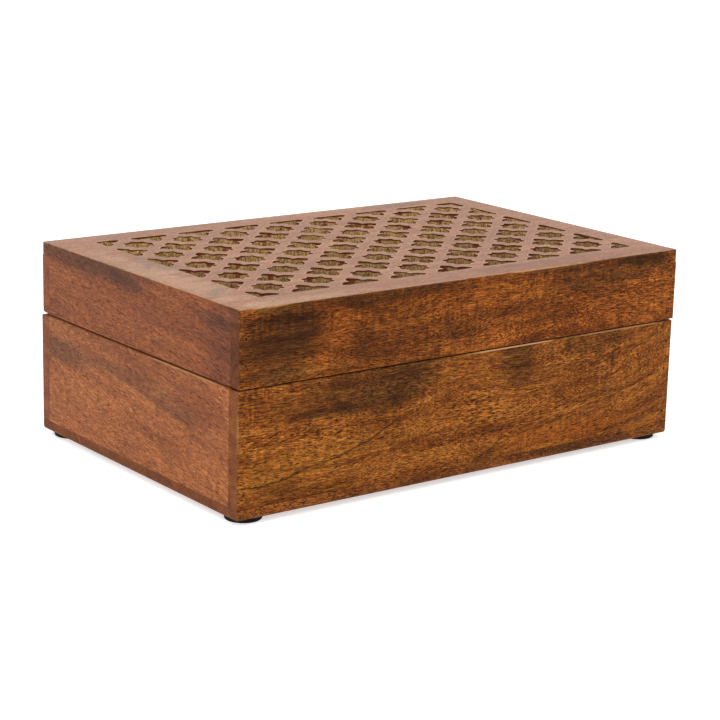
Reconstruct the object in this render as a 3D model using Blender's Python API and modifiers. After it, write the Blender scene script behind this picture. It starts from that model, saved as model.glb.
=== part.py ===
"""A hinged keepsake box of mango wood with a pierced star-and-cross lattice in its lid.

The frame is X along the length, Y towards the hinged back and Z up. The origin is the middle of
the footprint, at the underside of the feet. Boards butt together and are pinned with brads; a
floor panel closes the base and the lattice panel closes the lid. The lid turns on two brass butt
hinges whose pins lie just inside the back face, so the back edges meet and stop the lid.
"""

import math

import bmesh
import bpy
from mathutils import Matrix, Vector

# Overall sizes, in metres.
LENGTH = 0.3048
WIDTH = 0.2032
BASE_HEIGHT = 0.0683        # floor panel and base boards together
LID_HEIGHT = 0.0410         # lid boards and lattice panel together
SEAM = 0.0013               # space between base and lid, set by the hinge leaves
LID_OFFSET = 0.0008         # how far the lid sits towards +X on the base

# Thicknesses.
BOARD = 0.0080
FLOOR = 0.0060
PANEL = 0.0075
BACKING = 0.0030
GAP = 0.0003                # clearance wherever two pieces meet

# Eased edges.
EASE = 0.0007
FOOT_EDGE_EASE = 0.0016     # along the underside of the floor panel

# Feet.
FOOT_RADIUS = 0.0100
FOOT_HEIGHT = 0.0028
FOOT_INSET = 0.0120         # foot's centre in from each side
FOOT_DRAFT = 0.0006         # how much smaller the foot is at its bottom edge

# Lattice: eight-pointed stars between pointed crosses on a square grid.
PITCH = 0.0323
BORDER = 0.0170             # least width of the plain border
OVERRUN = 0.0017            # how far the cut crosses run past their centrelines
LATTICE_SHIFT = Vector((0.0034, 0.0012))
STAR_RADIUS = 0.0094
CROSS_HALF_ARM = 0.0041
CROSS_SHOULDER = 0.0082     # from the centre to where an arm starts to narrow

# Brads.
BRAD_RADIUS = 0.0006
BRAD_HEAD_RADIUS = 0.0009
BRAD_HEAD = 0.0006
BRAD_LENGTH = 0.0220
BRAD_SET = 0.0002           # how far the head lies below the face
BRAD_FROM_SEAM = 0.0120
BRAD_FROM_PANEL = 0.0075

# Hinges.
HINGE_LENGTH = 0.0300
HINGE_FROM_END = 0.0550     # hinge's middle to the end of the box
LEAF = 0.0008
LEAF_MARGIN = 0.0007        # leaf's front edge to the inside of the board
KNUCKLE_RADIUS = 0.0020
PIN_RADIUS = 0.0009
PIN_INSET = 0.0009          # pin's axis inside the back face
HINGE_SCREW_SPREAD = 0.0090
SCREW_LAND = 0.0005         # leaf left between a screw head and the knuckle or the leaf's edge
SCREW_RADIUS = 0.0008
SCREW_HEAD = 0.0007
SCREW_LENGTH = 0.0070

ROUND_SIDES = 24
SMALL_SIDES = 12

# Heights and places worked out from the sizes.
BASE_BOTTOM = FOOT_HEIGHT
BASE_TOP = BASE_BOTTOM + BASE_HEIGHT
LID_BOTTOM = BASE_TOP + SEAM
LID_TOP = LID_BOTTOM + LID_HEIGHT
PANEL_BOTTOM = LID_TOP - PANEL
FLOOR_TOP = BASE_BOTTOM + FLOOR
SHIFT_Y = (PIN_INSET - KNUCKLE_RADIUS) / 2
FRONT = SHIFT_Y - WIDTH / 2
BACK = SHIFT_Y + WIDTH / 2
BASE_X = -LID_OFFSET / 2
LID_X = LID_OFFSET / 2
PIVOT = Vector((0, BACK - PIN_INSET, (BASE_TOP + LID_BOTTOM) / 2))
LEAF_REACH = BOARD - PIN_INSET - LEAF_MARGIN
SCREW_HEAD_RADIUS = (LEAF_REACH - KNUCKLE_RADIUS) / 2 - SCREW_LAND
CUT_PAST = 0.001            # how far a cutter runs out past the face it opens

SIDES = {"left": (0, -1), "right": (0, 1), "front": (1, -1),
         "back": (1, 1), "bottom": (2, -1), "top": (2, 1)}


def clear_scene():
    """Remove every object, so that the script can be run again in the same file."""
    for thing in list(bpy.data.objects):
        bpy.data.objects.remove(thing, do_unlink=True)


def make_collection(name):
    """Return a new collection in the scene."""
    collection = bpy.data.collections.new(name)
    bpy.context.scene.collection.children.link(collection)
    return collection


def make_material(name, color, roughness, metallic=0.0):
    """Return a plain Principled material."""
    material = bpy.data.materials.new(name)
    material.use_nodes = True
    shader = material.node_tree.nodes["Principled BSDF"]
    shader.inputs["Base Color"].default_value = (*color, 1.0)
    shader.inputs["Roughness"].default_value = roughness
    shader.inputs["Metallic"].default_value = metallic
    return material


def add_object(name, mesh, location=(0, 0, 0), material=None, parent=None, rotation=(0, 0, 0)):
    """Place a mesh in the world as a part, or as a wire cutter if it has no material."""
    thing = bpy.data.objects.new(name, mesh)
    thing.location = location
    thing.rotation_euler = rotation
    if material:
        PARTS.objects.link(thing)
        if not mesh.materials:
            mesh.materials.append(material)
    else:
        CUTTERS.objects.link(thing)
        thing.hide_render = True
        thing.display_type = "WIRE"
    if parent:
        thing.parent = parent
        thing.location = Vector(location) - parent.location
    return thing


def mesh_from(bm, name):
    """Turn a bmesh into a mesh and free it."""
    mesh = bpy.data.meshes.new(name)
    bm.to_mesh(mesh)
    bm.free()
    return mesh


def box_mesh(name, size, eased=None):
    """A box centred on its own origin; eased maps two touching sides to a bevel weight."""
    bm = bmesh.new()
    bmesh.ops.create_cube(bm, size=1.0)
    bmesh.ops.scale(bm, vec=size, verts=bm.verts)
    weights = bm.edges.layers.float.new("bevel_weight_edge")
    for edge in bm.edges:
        middle = (edge.verts[0].co + edge.verts[1].co) / 2
        touching = {side for side, (axis, sign) in SIDES.items()
                    if abs(middle[axis] - sign * size[axis] / 2) < 1e-6}
        for pair, weight in (eased or {}).items():
            if set(pair.split()) == touching:
                edge[weights] = weight
    return mesh_from(bm, name)


def add_board(name, low, high, material, eased=None, ease=EASE, parent=None):
    """A board between two corners, with the named edges eased."""
    low, high = Vector(low), Vector(high)
    board = add_object(name, box_mesh(name, high - low, eased), (low + high) / 2, material, parent)
    if eased:
        bevel = board.modifiers.new("eased_edges", "BEVEL")
        bevel.width = ease
        bevel.segments = 3
        bevel.limit_method = "WEIGHT"
    return board


def cutter_box(name, low, high):
    """A box-shaped cutter between two corners."""
    low, high = Vector(low), Vector(high)
    return add_object(name, box_mesh(name, high - low), (low + high) / 2)


def turned_mesh(name, profile, sides):
    """Turn a profile of (radius, height) points, top to bottom, about Z with a Screw modifier."""
    bm = bmesh.new()
    points = [bm.verts.new((radius, 0, height)) for radius, height in profile]
    for upper, lower in zip(points, points[1:]):
        bm.edges.new((upper, lower))
    blank = bpy.data.objects.new(name, mesh_from(bm, name))
    CUTTERS.objects.link(blank)
    screw = blank.modifiers.new("turn", "SCREW")
    screw.steps = sides
    screw.render_steps = sides
    screw.use_merge_vertices = True
    screw.merge_threshold = 0.00001
    bpy.context.view_layer.update()
    graph = bpy.context.evaluated_depsgraph_get()
    mesh = bpy.data.meshes.new_from_object(blank.evaluated_get(graph))
    bpy.data.objects.remove(blank, do_unlink=True)
    mesh.shade_smooth()
    mesh.set_sharp_from_angle(angle=math.radians(35))
    return mesh


def cut(target, cutter, operation="DIFFERENCE"):
    """Add a Boolean modifier that cuts, or joins, one object with another."""
    boolean = target.modifiers.new(cutter.name, "BOOLEAN")
    boolean.operation = operation
    boolean.solver = "EXACT"
    boolean.object = cutter


def solid_outline(name, outlines, depth):
    """Extrude closed outlines to a solid, as a filled 2D curve turned into a mesh."""
    curve = bpy.data.curves.new(name, "CURVE")
    curve.dimensions = "2D"
    curve.fill_mode = "BOTH"
    curve.extrude = depth / 2
    for outline in outlines:
        spline = curve.splines.new("POLY")
        spline.points.add(len(outline) - 1)
        for point, (x, y) in zip(spline.points, outline):
            point.co = (x, y, 0, 1)
        spline.use_cyclic_u = True
    shape = bpy.data.objects.new(name, curve)
    CUTTERS.objects.link(shape)
    bpy.context.view_layer.update()
    graph = bpy.context.evaluated_depsgraph_get()
    mesh = bpy.data.meshes.new_from_object(shape.evaluated_get(graph))
    bpy.data.objects.remove(shape, do_unlink=True)
    bm = bmesh.new()
    bm.from_mesh(mesh)
    bmesh.ops.remove_doubles(bm, verts=bm.verts, dist=0.00001)
    bmesh.ops.recalc_face_normals(bm, faces=bm.faces)
    return mesh_from(bm, name)


# ---------------------------------------------------------------- boards

def build_base_boards(wood):
    """Four base boards, the long ones running past the ends, on the floor panel."""
    left, right = BASE_X - LENGTH / 2, BASE_X + LENGTH / 2
    bottom = FLOOR_TOP + GAP
    long_edges = {"left top": 1, "right top": 1}
    front = add_board("base_front_board", (left, FRONT, bottom), (right, FRONT + BOARD, BASE_TOP), wood,
                      {**long_edges, "front top": 1, "front left": 1, "front right": 1})
    back = add_board("base_back_board", (left, BACK - BOARD, bottom), (right, BACK, BASE_TOP), wood,
                     {**long_edges, "back top": 1, "back left": 1, "back right": 1})
    inner_front, inner_back = FRONT + BOARD + GAP, BACK - BOARD - GAP
    left_end = add_board("base_left_end", (left, inner_front, bottom),
                         (left + BOARD, inner_back, BASE_TOP), wood, {"left top": 1})
    right_end = add_board("base_right_end", (right - BOARD, inner_front, bottom),
                          (right, inner_back, BASE_TOP), wood, {"right top": 1})
    return front, back, left_end, right_end


def build_floor(wood):
    """The floor panel, as large as the footprint, with a rounder edge underneath."""
    share = EASE / FOOT_EDGE_EASE
    under = {f"{side} bottom": 1 for side in ("left", "right", "front", "back")}
    corners = {f"{y} {x}": share for x in ("left", "right") for y in ("front", "back")}
    add_board("base_floor", (BASE_X - LENGTH / 2, FRONT, BASE_BOTTOM), (BASE_X + LENGTH / 2, BACK, FLOOR_TOP),
              wood, {**under, **corners}, FOOT_EDGE_EASE)


def build_lid_boards(wood, pivot):
    """Four lid boards under the lattice panel, joined as the base is."""
    left, right = LID_X - LENGTH / 2, LID_X + LENGTH / 2
    top = PANEL_BOTTOM - GAP
    long_edges = {"left bottom": 1, "right bottom": 1}
    front = add_board("lid_front_board", (left, FRONT, LID_BOTTOM), (right, FRONT + BOARD, top), wood,
                      {**long_edges, "front bottom": 1, "front left": 1, "front right": 1}, parent=pivot)
    back = add_board("lid_back_board", (left, BACK - BOARD, LID_BOTTOM), (right, BACK, top), wood,
                     {**long_edges, "back bottom": 1, "back left": 1, "back right": 1}, parent=pivot)
    inner_front, inner_back = FRONT + BOARD + GAP, BACK - BOARD - GAP
    left_end = add_board("lid_left_end", (left, inner_front, LID_BOTTOM), (left + BOARD, inner_back, top),
                         wood, {"left bottom": 1}, parent=pivot)
    right_end = add_board("lid_right_end", (right - BOARD, inner_front, LID_BOTTOM), (right, inner_back, top),
                          wood, {"right bottom": 1}, parent=pivot)
    return front, back, left_end, right_end


# ---------------------------------------------------------------- lattice

def star_outline(centre):
    """Two overlapped squares: eight points on a circle with the valleys between them."""
    valley = STAR_RADIUS * math.cos(math.radians(45)) / math.cos(math.radians(22.5))
    outline = []
    for step in range(16):
        angle = math.radians(22.5 * step)
        radius = STAR_RADIUS if step % 2 == 0 else valley
        outline.append((centre.x + radius * math.cos(angle), centre.y + radius * math.sin(angle)))
    return outline


def cross_outline(centre):
    """Four arms with pointed ends."""
    arm, shoulder = CROSS_HALF_ARM, CROSS_SHOULDER
    one_arm = [(arm, -arm), (shoulder, -arm), (shoulder + arm, 0), (shoulder, arm)]
    outline = []
    for turn in range(4):
        spin = Matrix.Rotation(math.radians(90 * turn), 2)
        for point in one_arm:
            place = centre + spin @ Vector(point)
            outline.append((place.x, place.y))
    return outline


def clipped(outline, low, high):
    """Clip an outline to a rectangle, one side at a time."""
    for axis, limit, sign in ((0, low.x, 1), (0, high.x, -1), (1, low.y, 1), (1, high.y, -1)):
        kept = []
        for start, end in zip(outline, outline[1:] + outline[:1]):
            start_in = sign * (start[axis] - limit) >= 0
            end_in = sign * (end[axis] - limit) >= 0
            if start_in:
                kept.append(start)
            if start_in != end_in:
                share = (limit - start[axis]) / (end[axis] - start[axis])
                kept.append(tuple(a + (b - a) * share for a, b in zip(start, end)))
        outline = kept
    return outline


def lattice_outlines():
    """Every opening of the lattice: whole stars, and crosses cut off where the border begins."""
    columns = int((LENGTH - 2 * BORDER - 2 * OVERRUN) / PITCH)
    rows = int((WIDTH - 2 * BORDER - 2 * OVERRUN) / PITCH)
    corner = LATTICE_SHIFT - Vector((columns, rows)) * PITCH / 2
    margin = Vector((OVERRUN, OVERRUN))
    low = corner - margin
    high = corner + Vector((columns, rows)) * PITCH + margin
    outlines = []
    for i in range(columns + 1):
        for j in range(rows + 1):
            node = corner + Vector((i, j)) * PITCH
            outlines.append(clipped(cross_outline(node), low, high))
            if i < columns and j < rows:
                outlines.append(star_outline(node + Vector((PITCH, PITCH)) / 2))
    return outlines


def build_lattice_panel(wood, pivot):
    """The lid's top: one panel with the lattice cut right through it."""
    edges = {f"{side} top": 1 for side in ("left", "right", "front", "back")}
    corners = {f"{y} {x}": 1 for x in ("left", "right") for y in ("front", "back")}
    panel = add_board("lid_lattice_panel", (LID_X - LENGTH / 2, FRONT, PANEL_BOTTOM),
                      (LID_X + LENGTH / 2, BACK, LID_TOP), wood, {**edges, **corners}, parent=pivot)
    openings = solid_outline("lattice_openings", lattice_outlines(), PANEL + 2 * CUT_PAST)
    middle = (LID_X, SHIFT_Y, (PANEL_BOTTOM + LID_TOP) / 2)
    cut(panel, add_object("lattice_openings", openings, middle))


def build_backing_board(paint, pivot):
    """The thin painted board that closes the lattice from below, inside the lid boards."""
    reach_x = LENGTH / 2 - BOARD - GAP
    reach_y = WIDTH / 2 - BOARD - GAP
    top = PANEL_BOTTOM - GAP
    add_board("lid_backing_board", (LID_X - reach_x, SHIFT_Y - reach_y, top - BACKING),
              (LID_X + reach_x, SHIFT_Y + reach_y, top), paint, parent=pivot)


# ---------------------------------------------------------------- brads

def brad_profile(clearance=0.0, head_past=0.0):
    """Half section of a brad along Z, head up at zero; a clearance makes its hole."""
    return [(0, head_past), (BRAD_HEAD_RADIUS + clearance, head_past),
            (BRAD_HEAD_RADIUS + clearance, -BRAD_HEAD - clearance),
            (BRAD_RADIUS + clearance, -BRAD_HEAD - clearance),
            (BRAD_RADIUS + clearance, -BRAD_LENGTH - clearance), (0, -BRAD_LENGTH - clearance)]


def build_brads(where, box_x, levels, boards, steel, parent=None):
    """Brads through the front and back boards into the end boards, each in its own hole."""
    front, back, left_end, right_end = boards
    brad = turned_mesh("brad", brad_profile(), SMALL_SIDES)
    hole = turned_mesh("brad_hole", brad_profile(GAP, BRAD_SET + CUT_PAST), SMALL_SIDES)
    for side, board, face, outward in (("front", front, FRONT, -1), ("back", back, BACK, 1)):
        turn = (math.radians(-90 * outward), 0, 0)
        for end_name, end, end_board in (("left", -1, left_end), ("right", 1, right_end)):
            for height, level in zip(("low", "high"), levels):
                name = f"{where}_brad_{side}_{end_name}_{height}"
                place = (box_x + end * (LENGTH - BOARD) / 2, face - outward * BRAD_SET, level)
                add_object(name, brad, place, steel, parent, turn)
                bored = add_object(f"{name}_hole", hole, place, rotation=turn)
                cut(board, bored)
                cut(end_board, bored)


# ---------------------------------------------------------------- feet

def build_feet(rubber):
    """Four low rubber pads under the corners of the floor panel."""
    top = FOOT_HEIGHT - GAP
    rim = 0.0003
    profile = [(0, top), (FOOT_RADIUS, top), (FOOT_RADIUS - FOOT_DRAFT, rim),
               (FOOT_RADIUS - FOOT_DRAFT - rim, 0), (0, 0)]
    pad = turned_mesh("foot", profile, ROUND_SIDES)
    for y_name, y in (("front", FRONT + FOOT_INSET), ("back", BACK - FOOT_INSET)):
        for x_name, end in (("left", -1), ("right", 1)):
            place = (BASE_X + end * (LENGTH / 2 - FOOT_INSET), y, 0)
            add_object(f"foot_{y_name}_{x_name}", pad, place, rubber)


# ---------------------------------------------------------------- hinges

def along_x(radius, length, centre_x, name):
    """A round bar along X on the pivot's axis, as a cutter or a knuckle blank."""
    bm = bmesh.new()
    bmesh.ops.create_cone(bm, cap_ends=True, segments=ROUND_SIDES, radius1=radius, radius2=radius,
                          depth=length)
    bmesh.ops.rotate(bm, verts=bm.verts, matrix=Matrix.Rotation(math.radians(90), 3, "Y"))
    return add_object(name, mesh_from(bm, name), (centre_x, PIVOT.y, PIVOT.z))


def screw_profile(clearance=0.0, head_past=0.0):
    """Half section of a countersunk screw along Z, head up at zero; a clearance makes its hole."""
    head, shank = SCREW_HEAD_RADIUS + clearance, SCREW_RADIUS + clearance
    bottom = -SCREW_LENGTH - clearance
    point = 0.0012 if not clearance else 0.0
    rim = [(0, head_past), (head, head_past)]
    if head_past:
        rim.append((head, 0))
    return rim + [(shank, -SCREW_HEAD), (shank, bottom + point), (0, bottom)]


def build_leaf(hand, which, centre_x, brass, parent=None):
    """One hinge leaf with its knuckles: the base leaf has the outer two, the lid leaf the middle."""
    up = 1 if which == "lid" else -1
    name = f"hinge_{hand}_{which}_leaf"
    half = HINGE_LENGTH / 2
    near, far = sorted((up * GAP / 2, up * (GAP / 2 + LEAF)))
    leaf = add_board(name, (centre_x - half, PIVOT.y - LEAF_REACH, PIVOT.z + near),
                     (centre_x + half, PIVOT.y - PIN_RADIUS - 2 * GAP, PIVOT.z + far), brass, parent=parent)
    third = (HINGE_LENGTH - 2 * GAP) / 3
    inner_end, outer_end = third / 2, third / 2 + GAP
    middle = (centre_x - outer_end, centre_x + outer_end)
    past_end = half + CUT_PAST
    outer = ((centre_x - past_end, centre_x - inner_end), (centre_x + inner_end, centre_x + past_end))
    reach = KNUCKLE_RADIUS + GAP
    for number, (low_x, high_x) in enumerate(outer if which == "lid" else (middle,)):
        cut(leaf, cutter_box(f"{name}_slot_{number}", (low_x, PIVOT.y - reach, PIVOT.z - reach),
                             (high_x, PIVOT.y + reach, PIVOT.z + reach)))
    own = (centre_x,) if which == "lid" else (centre_x - third - GAP, centre_x + third + GAP)
    for number, x in enumerate(own):
        cut(leaf, along_x(KNUCKLE_RADIUS, third, x, f"{name}_knuckle_{number}"), "UNION")
    cut(leaf, along_x(PIN_RADIUS + GAP, HINGE_LENGTH + 2 * CUT_PAST, centre_x, f"{name}_bore"))
    return leaf


def build_hinge_half(hand, which, centre_x, board, brass, parent=None):
    """One leaf with its screws, let into the edge of a back board."""
    up = 1 if which == "lid" else -1
    leaf = build_leaf(hand, which, centre_x, brass, parent)
    screw = turned_mesh("hinge_screw", screw_profile(), SMALL_SIDES)
    hole = turned_mesh("screw_hole", screw_profile(GAP, GAP), SMALL_SIDES)
    turn = (math.radians(180 if up > 0 else 0), 0, 0)
    for end_name, end in (("left", -1), ("right", 1)):
        name = f"hinge_{hand}_{which}_screw_{end_name}"
        place = (centre_x + end * HINGE_SCREW_SPREAD, PIVOT.y - (LEAF_REACH + KNUCKLE_RADIUS) / 2,
                 PIVOT.z + up * GAP / 2)
        add_object(name, screw, place, brass, parent, turn)
        bored = add_object(f"{name}_hole", hole, place, rotation=turn)
        cut(leaf, bored)
        cut(board, bored)
    reach = KNUCKLE_RADIUS + GAP
    low_x, high_x = centre_x - HINGE_LENGTH / 2 - GAP, centre_x + HINGE_LENGTH / 2 + GAP
    pockets = (("mortise", BACK - BOARD - CUT_PAST, GAP / 2 + LEAF + GAP), ("notch", PIVOT.y - reach, reach))
    for pocket, front_y, depth in pockets:
        near, far = sorted((0, up * depth))
        cut(board, cutter_box(f"hinge_{hand}_{which}_{pocket}", (low_x, front_y, PIVOT.z + near),
                              (high_x, BACK + CUT_PAST, PIVOT.z + far)))


def build_hinge(hand, side, base_back, lid_back, brass, pivot):
    """A brass butt hinge: a leaf on each back board, and the pin between them."""
    centre_x = side * (LENGTH / 2 - HINGE_FROM_END)
    half = HINGE_LENGTH / 2
    chamfer = 0.0002
    pin = turned_mesh("pin", [(0, half), (PIN_RADIUS - chamfer, half), (PIN_RADIUS, half - chamfer),
                              (PIN_RADIUS, chamfer - half), (PIN_RADIUS - chamfer, -half), (0, -half)],
                      ROUND_SIDES)
    add_object(f"hinge_{hand}_pin", pin, (centre_x, PIVOT.y, PIVOT.z), brass,
               rotation=(0, math.radians(90), 0))
    build_hinge_half(hand, "base", centre_x, base_back, brass)
    build_hinge_half(hand, "lid", centre_x, lid_back, brass, pivot)


def main():
    """Build every piece."""
    wood = make_material("mango_wood", (0.30, 0.12, 0.045), 0.45)
    panel_wood = make_material("mango_wood_panel", (0.38, 0.22, 0.13), 0.5)
    paint = make_material("ochre_paint", (0.27, 0.19, 0.05), 0.7)
    rubber = make_material("black_rubber", (0.02, 0.02, 0.02), 0.7)
    brass = make_material("brass", (0.72, 0.50, 0.20), 0.35, 1.0)
    steel = make_material("blackened_steel", (0.06, 0.05, 0.045), 0.5, 1.0)

    pivot = bpy.data.objects.new("lid_pivot", None)
    pivot.location = PIVOT
    PARTS.objects.link(pivot)

    base_boards = build_base_boards(wood)
    build_floor(wood)
    build_feet(rubber)
    lid_boards = build_lid_boards(wood, pivot)
    build_lattice_panel(panel_wood, pivot)
    build_backing_board(paint, pivot)
    base_levels = (FLOOR_TOP + GAP + BRAD_FROM_PANEL, BASE_TOP - BRAD_FROM_SEAM)
    build_brads("base", BASE_X, base_levels, base_boards, steel)
    lid_levels = (LID_BOTTOM + BRAD_FROM_SEAM, PANEL_BOTTOM - GAP - BRAD_FROM_PANEL)
    build_brads("lid", LID_X, lid_levels, lid_boards, steel, pivot)
    for hand, side in (("left", -1), ("right", 1)):
        build_hinge(hand, side, base_boards[1], lid_boards[1], brass, pivot)


clear_scene()
PARTS = make_collection("lattice_lid_box")
CUTTERS = make_collection("cutters")
main()
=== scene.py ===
"""Looks of a hinged mango wood box whose lid is pierced with a star-and-cross lattice."""

import logging
import math
from dataclasses import dataclass, field, replace
from enum import Enum, IntEnum
from typing import Any, Iterable, Sequence

import bmesh
import bpy
from mathutils import Matrix, Vector, geometry, noise


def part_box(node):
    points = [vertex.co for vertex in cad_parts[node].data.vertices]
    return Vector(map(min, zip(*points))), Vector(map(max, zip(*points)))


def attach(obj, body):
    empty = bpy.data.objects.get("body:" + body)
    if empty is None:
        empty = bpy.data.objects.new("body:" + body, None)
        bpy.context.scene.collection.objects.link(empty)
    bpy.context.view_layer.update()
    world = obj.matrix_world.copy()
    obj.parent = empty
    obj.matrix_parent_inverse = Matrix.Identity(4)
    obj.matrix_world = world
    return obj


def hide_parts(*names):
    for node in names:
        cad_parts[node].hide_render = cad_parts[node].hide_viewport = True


LOG = logging.getLogger("lattice_lid_box")
MM = 0.001
IN_MM = (1000.0, 1000.0, 1000.0)
MATH = "ShaderNodeMath"
VECTOR = "ShaderNodeVectorMath"
RANGE = "ShaderNodeMapRange"
NOISE = "ShaderNodeTexNoise"
BEND = 130.0  # mm of board over which a climbing grain gains its rise


# ------------------------------------------------------------------ named options

class Grain(Enum):
    """The way a board's grain runs; FLAT is along X too, on a board that lies flat."""

    ALONG_X = "along x, upright board"
    ALONG_Y = "along y, upright board"
    FLAT = "along x, flat board"

    def turn(self) -> tuple[float, float, float]:
        """The turn that lays the grain along the pattern's own X."""
        return (0.0, 0.0, math.radians(-90) if self is Grain.ALONG_Y else 0.0)


class Blend(Enum):
    """How a coat lies on the wood: as a stain that keeps the figure, or as a tint."""

    STAIN = "MULTIPLY"
    TINT = "MIX"


class PanelSide(IntEnum):
    """The lattice panel's material slots."""

    FACE = 0
    WALL = 1
    LONG_EDGE = 2
    END_GRAIN = 3
    RUBBED_RIM = 4


# ------------------------------------------------------------------ helpers

def linear(code: str) -> tuple[float, float, float, float]:
    """Turn an sRGB hex colour into linear light.

    Args:
        code: Six hex digits, such as "8a5a2b".

    Returns:
        Red, green, blue and alpha, from 0 to 1.
    """
    parts = [int(code[at:at + 2], 16) / 255 for at in (0, 2, 4)]
    light = [p / 12.92 if p <= 0.04045 else ((p + 0.055) / 1.055) ** 2.4 for p in parts]
    return (light[0], light[1], light[2], 1.0)


def feed(tree: bpy.types.NodeTree, node: bpy.types.Node, inputs: dict[Any, Any]) -> None:
    """Set a node's inputs.

    Args:
        tree: The node tree.
        node: The node.
        inputs: Input name or number to a value, a socket, or a node for its first output.
    """
    for key, source in inputs.items():
        if isinstance(source, bpy.types.Node):
            source = source.outputs[0]
        if isinstance(source, bpy.types.NodeSocket):
            tree.links.new(source, node.inputs[key])
        else:
            node.inputs[key].default_value = source


def add(tree: bpy.types.NodeTree, kind: str, *sources: Any, named: dict[Any, Any] | None = None,
        **settings: Any) -> bpy.types.Node:
    """Add a shader node with its settings and links.

    Args:
        tree: The node tree that gets the node.
        kind: The node's type.
        sources: What feeds its inputs in order: a value, a socket, or a node for its first output.
        named: The same for inputs that are given by name or number.
        settings: Attributes set on the node.

    Returns:
        The new node.
    """
    node = tree.nodes.new(kind)
    for name, value in settings.items():
        setattr(node, name, value)
    feed(tree, node, {**dict(enumerate(sources)), **(named or {})})
    return node


def glazed(tree: bpy.types.NodeTree, ground: Any, coats: Iterable[tuple[Any, str, Blend]]) -> Any:
    """Lay coats of colour over a ground, each by its own share.

    Args:
        tree: The node tree.
        ground: What lies underneath: a linear colour, a socket, or a node for its first output.
        coats: Share, hex colour and blend of each coat, the lowest first.

    Returns:
        The socket of the finished colour.
    """
    for share, tone, blend in coats:
        ground = add(tree, "ShaderNodeMix", share, named={6: ground, 7: linear(tone)},
                     data_type="RGBA", blend_type=blend.value).outputs[2]
    return ground


def blank_material(name: str) -> tuple[bpy.types.Material, bpy.types.NodeTree, bpy.types.Node]:
    """Make a material that holds only its Principled shader and output.

    Args:
        name: The material's name.

    Returns:
        The material, its node tree and the shader.
    """
    material = bpy.data.materials.new(name)
    material.use_nodes = True
    tree = material.node_tree
    tree.nodes.clear()
    shader = add(tree, "ShaderNodeBsdfPrincipled")
    add(tree, "ShaderNodeOutputMaterial", named={"Surface": shader})
    return material, tree, shader


def new_piece(name: str, mesh: bpy.types.Mesh, materials: Sequence[bpy.types.Material]) -> bpy.types.Object:
    """Put a mesh in the scene with its materials.

    Args:
        name: The piece's name.
        mesh: The mesh, in the row frame.
        materials: Materials for its slots, in order.

    Returns:
        The new object.
    """
    piece = bpy.data.objects.new(name, mesh)
    bpy.context.scene.collection.objects.link(piece)
    if mesh.materials:
        mesh.materials.clear()
    for material in materials:
        mesh.materials.append(material)
    return piece


def dress(node: bpy.types.Object, material: bpy.types.Material) -> None:
    """Give every material slot of a carried-over node one finish."""
    for slot in node.material_slots:
        slot.material = material


def as_mesh(bm: bmesh.types.BMesh, name: str) -> bpy.types.Mesh:
    """Turn a finished build mesh into a mesh and free it.

    Args:
        bm: The build mesh.
        name: The new mesh's name.

    Returns:
        The new mesh.
    """
    mesh = bpy.data.meshes.new(name)
    bm.to_mesh(mesh)
    bm.free()
    return mesh


# ------------------------------------------------------------------ finishes

@dataclass(frozen=True)
class Patch:
    """A patch of another tone in the wood, such as smoky heartwood; also a stretch of painted highlight along
    an arris.

    Attributes:
        middle: Place in mm, along and across the grain, in the row frame.
        reach: How far it goes in mm before, after, and either side of the middle.
        strength: Its share where it is thickest.
        lean: Shift along the grain for each mm across it.
        fray: How much the figure frays its edge.
        tone: Its hex colour.
        blend: How it lies on the wood.
    """

    middle: tuple[float, float]
    reach: tuple[float, float, float]
    strength: float = 0.7
    lean: float = 0.0
    fray: float = 0.9
    tone: str = "8c98b4"
    blend: Blend = Blend.STAIN

    def share(self, tree: bpy.types.NodeTree, along: Any, across: Any, haze: Any) -> bpy.types.Node:
        """Work out how much of the patch shows at each point.

        Args:
            tree: The node tree.
            along: Socket with mm along the grain.
            across: Socket with mm across the grain.
            haze: Noise that frays the patch's edge.

        Returns:
            The node that gives the share.
        """
        off_across = add(tree, MATH, across, self.middle[1], operation="SUBTRACT")
        off_along = add(tree, MATH, along, self.middle[0], operation="SUBTRACT")
        leaned = add(tree, MATH, off_across, self.lean, operation="MULTIPLY")
        off_along = add(tree, MATH, off_along, leaned, operation="SUBTRACT")
        before = add(tree, MATH, off_along, -1 / self.reach[0], operation="MULTIPLY")
        after = add(tree, MATH, off_along, 1 / self.reach[1], operation="MULTIPLY")
        far_along = add(tree, MATH, before, after, operation="MAXIMUM")
        far_across = add(tree, MATH, off_across, 1 / self.reach[2], operation="MULTIPLY")
        far = add(tree, "ShaderNodeCombineXYZ", far_along, far_across)
        far = add(tree, VECTOR, far, operation="LENGTH").outputs["Value"]
        fray = add(tree, MATH, haze, -2 * self.fray, operation="MULTIPLY")
        frayed = add(tree, MATH, far, fray, operation="ADD")
        return add(tree, RANGE, frayed, 1.0 - self.fray, 0.35 - self.fray, 0.0, self.strength,
                   interpolation_type="SMOOTHSTEP")


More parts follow.
